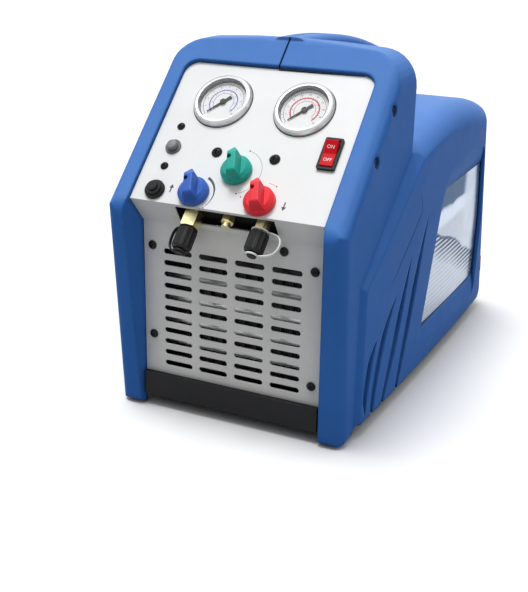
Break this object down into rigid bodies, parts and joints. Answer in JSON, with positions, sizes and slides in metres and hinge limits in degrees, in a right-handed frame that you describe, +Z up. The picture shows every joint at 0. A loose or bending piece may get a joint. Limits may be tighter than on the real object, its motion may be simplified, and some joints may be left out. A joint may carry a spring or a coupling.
{
  "type": "refrigerant recovery machine",
  "caption": "Portable refrigerant recovery machine: moulded side shells with a carrying handle around a sloping panel with gauges, valve knobs, a switch and capped hose ports over a slotted grille.",
  "frame": {"origin": "on the ground under the middle of the bounding box", "axes": "Z up, front (control panel) towards -Y, the machine's right-hand side as seen from the front towards +X"},
  "size_m": [0.26, 0.4816, 0.3469],
  "materials": {
    "shell": "moulded blue ABS, satin",
    "film": "white printed film",
    "panel": "silver-grey painted sheet",
    "tray": "black painted sheet",
    "plate": "silver-white gloss plate",
    "rubber": "black rubber",
    "bezel": "polished steel",
    "dial": "white dial",
    "pointer": "black",
    "lens": "clear",
    "brass": "machined brass",
    "blue_knob": "moulded",
    "green_knob": "moulded",
    "red_knob": "moulded",
    "black_plastic": "moulded black",
    "clear_strap": "translucent white",
    "red_rocker": "moulded",
    "grey_plastic": "moulded grey",
    "screw": "black oxide steel",
    "motor": "black enamel",
    "casting": "cast aluminium",
    "fins": "rolled aluminium",
    "copper": "copper pipe",
    "can": "drawn aluminium can"
  },
  "bodies": {
    "case": {"right_shell": "shell", "left_shell": "shell", "front_panel": "panel", "panel_overlay": "film", "base_tray": "tray", "rear_panel": "panel", "right_side_plate": "plate", "left_side_plate": "plate", "rubber_feet": "rubber", "rear_bumpers": "rubber", "low_gauge_case": "bezel", "low_gauge_dial": "dial", "low_gauge_lens": "lens", "high_gauge_case": "bezel", "high_gauge_dial": "dial", "high_gauge_lens": "lens", "valve_manifold": "brass", "input_port": "brass", "purge_plug": "brass", "output_port": "brass", "input_strap": "black_plastic", "output_strap": "clear_strap", "switch_housing": "black_plastic", "reset_bushing": "grey_plastic", "breaker_bushing": "black_plastic", "console_screws": "screw", "grille_screws": "screw", "shell_screws": "screw", "compressor_motor": "motor", "crankcase": "casting", "compressor_cylinder": "casting", "cylinder_head": "casting", "compressor_mounts": "rubber", "condenser_fins": "fins", "condenser_tubes": "copper", "fan_shroud": "tray", "fan_motor": "motor", "power_inlet": "black_plastic", "run_capacitor": "can", "suction_pipe": "copper", "discharge_pipe": "copper", "liquid_pipe": "copper"},
    "input_valve": {"input_knob": "blue_knob", "input_stem": "brass"},
    "mode_valve": {"mode_knob": "green_knob", "mode_stem": "brass"},
    "output_valve": {"output_knob": "red_knob", "output_stem": "brass"},
    "power_rocker": {"switch_rocker": "red_rocker"},
    "reset": {"reset_button": "grey_plastic"},
    "breaker": {"breaker_button": "black_plastic"},
    "low_pointer": {"low_gauge_pointer": "pointer"},
    "high_pointer": {"high_gauge_pointer": "pointer"},
    "fan": {"fan_blade": "black_plastic"},
    "inlet_cap": {"input_cap": "black_plastic"},
    "outlet_cap": {"output_cap": "black_plastic"}
  },
  "joints": [
    {"name": "input_knob_turn", "type": "hinge", "parent": "case", "child": "input_valve", "pos_m": [-0.0348, -0.20647, 0.22052], "axis": [0, -0.7009, 0.7133], "range_deg": [-150, 0]},
    {"name": "mode_knob_turn", "type": "hinge", "parent": "case", "child": "mode_valve", "pos_m": [-0.0023, -0.18686, 0.2398], "axis": [0, -0.7009, 0.7133], "range_deg": [-180, 0]},
    {"name": "output_knob_turn", "type": "hinge", "parent": "case", "child": "output_valve", "pos_m": [0.0302, -0.20647, 0.22052], "axis": [0, -0.7009, 0.7133], "range_deg": [0, 90]},
    {"name": "rocker_tip", "type": "hinge", "parent": "case", "child": "power_rocker", "pos_m": [0.078, -0.16548, 0.2587], "axis": [1, 0, 0], "range_deg": [-20, 0]},
    {"name": "reset_press", "type": "slide", "parent": "case", "child": "reset", "axis": [0, 0.7009, -0.7133], "range_m": [0, 0.003], "stiffness_N_per_m": 300},
    {"name": "breaker_pop", "type": "slide", "parent": "case", "child": "breaker", "axis": [0, -0.7009, 0.7133], "range_m": [0, 0.004]},
    {"name": "low_needle", "type": "hinge", "parent": "case", "child": "low_pointer", "pos_m": [-0.0433, -0.1355, 0.29026], "axis": [0, -0.7009, 0.7133], "range_deg": [-270, 0]},
    {"name": "high_needle", "type": "hinge", "parent": "case", "child": "high_pointer", "pos_m": [0.0387, -0.1355, 0.29026], "axis": [0, -0.7009, 0.7133], "range_deg": [-270, 0]},
    {"name": "fan_spin", "type": "hinge", "parent": "case", "child": "fan", "pos_m": [0, -0.11946, 0.102], "axis": [0, 1, 0], "continuous": true},
    {"name": "input_cap_off", "type": "slide", "parent": "case", "child": "inlet_cap", "axis": [0, -0.7133, -0.7009], "range_m": [0, 0.025], "deforming": ["input_strap"]},
    {"name": "output_cap_off", "type": "slide", "parent": "case", "child": "outlet_cap", "axis": [0, -0.7133, -0.7009], "range_m": [0, 0.025], "deforming": ["output_strap"]}
  ]
}
